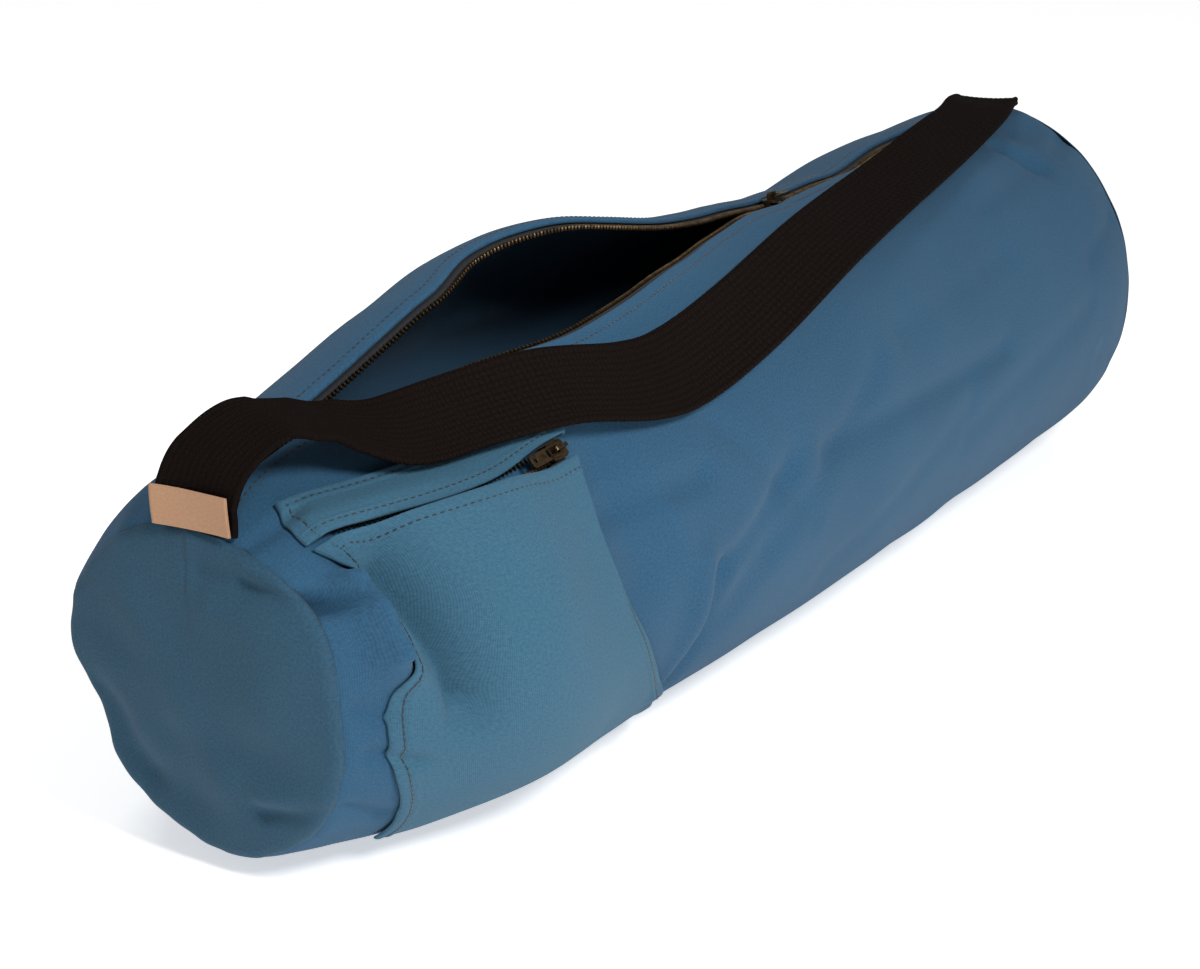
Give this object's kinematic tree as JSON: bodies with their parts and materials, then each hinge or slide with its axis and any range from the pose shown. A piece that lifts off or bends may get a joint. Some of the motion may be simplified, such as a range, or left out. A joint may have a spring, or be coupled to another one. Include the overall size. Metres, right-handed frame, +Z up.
{
  "type": "yoga mat bag",
  "caption": "Canvas tube bag for a rolled mat, with a zip along its top standing partly open, a zipped side pocket and a webbing shoulder strap.",
  "frame": {"origin": "under the middle of the bag, on the surface that it lies on", "axes": "+X along the bag to its far end, -Y to its front with the pocket, +Z up"},
  "size_m": [0.69, 0.194, 0.2038],
  "materials": {
    "canvas": "matte blue cotton canvas",
    "webbing": "matte black cotton webbing",
    "zip_tape": "matte dark woven tape",
    "zip_metal": "dark antique brass",
    "label": "cream woven tag"
  },
  "bodies": {
    "bag": {"tube_panel": "canvas", "near_end_disc": "canvas", "far_end_disc": "canvas", "zip_tape_front": "zip_tape", "zip_tape_back": "zip_tape", "zip_teeth_front": "zip_metal", "zip_teeth_back": "zip_metal", "zip_slider": "zip_metal", "pocket_welt": "canvas", "pocket_panel": "canvas", "pocket_tape_upper": "zip_tape", "pocket_teeth_upper": "zip_metal", "pocket_tape_lower": "zip_tape", "pocket_teeth_lower": "zip_metal", "pocket_slider": "zip_metal", "strap": "webbing", "end_label": "label"},
    "zip_tab": {"zip_pull": "zip_metal"},
    "pocket_tab": {"pocket_pull": "zip_metal"}
  },
  "joints": [
    {"name": "zip_tab_swing", "type": "hinge", "parent": "bag", "child": "zip_tab", "pos_m": [0.05483, -0.00643, 0.17815], "axis": [0.1127, -0.9907, 0.0768], "range_deg": [0, 150]},
    {"name": "pocket_tab_swing", "type": "hinge", "parent": "bag", "child": "pocket_tab", "pos_m": [-0.22521, -0.06886, 0.14922], "axis": [-0.008, 0.6601, 0.7511], "range_deg": [0, 150]}
  ]
}
